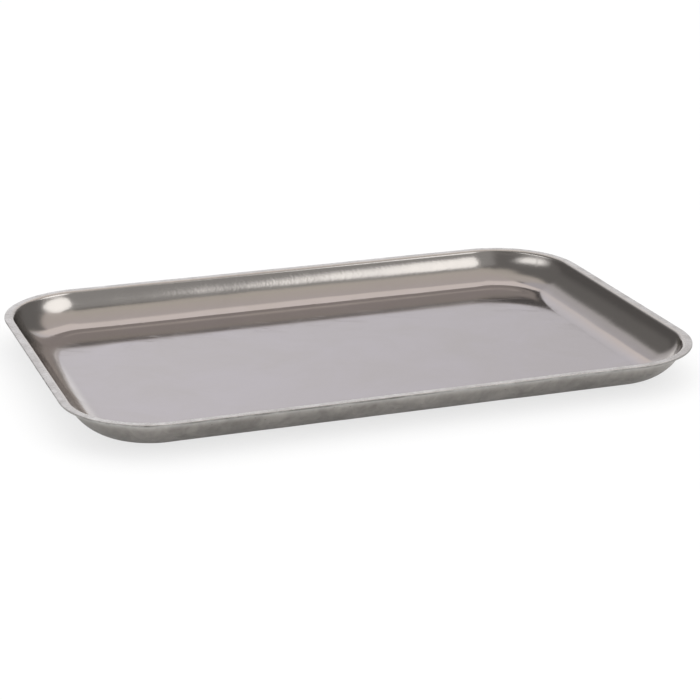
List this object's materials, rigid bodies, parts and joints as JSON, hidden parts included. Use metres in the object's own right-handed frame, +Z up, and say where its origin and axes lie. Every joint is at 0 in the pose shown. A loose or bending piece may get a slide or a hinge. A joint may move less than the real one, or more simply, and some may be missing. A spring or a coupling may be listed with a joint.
{
  "type": "instrument tray",
  "caption": "Shallow rectangular instrument tray pressed from one stainless sheet, with rounded corners, walls curved into a flat floor, and a flat turned-out rim.",
  "frame": {"origin": "centre of the base underside, where the tray rests", "axes": "+X along the long side, +Y along the short side, +Z up out of the open top"},
  "size_m": [0.3, 0.2, 0.016],
  "materials": {
    "stainless_sheet": "bright rolled stainless, near mirror inside the tray and on the rim, satin on the outside of the walls and on the underside"
  },
  "bodies": {
    "root": {"tray": "stainless_sheet"}
  },
  "joints": []
}
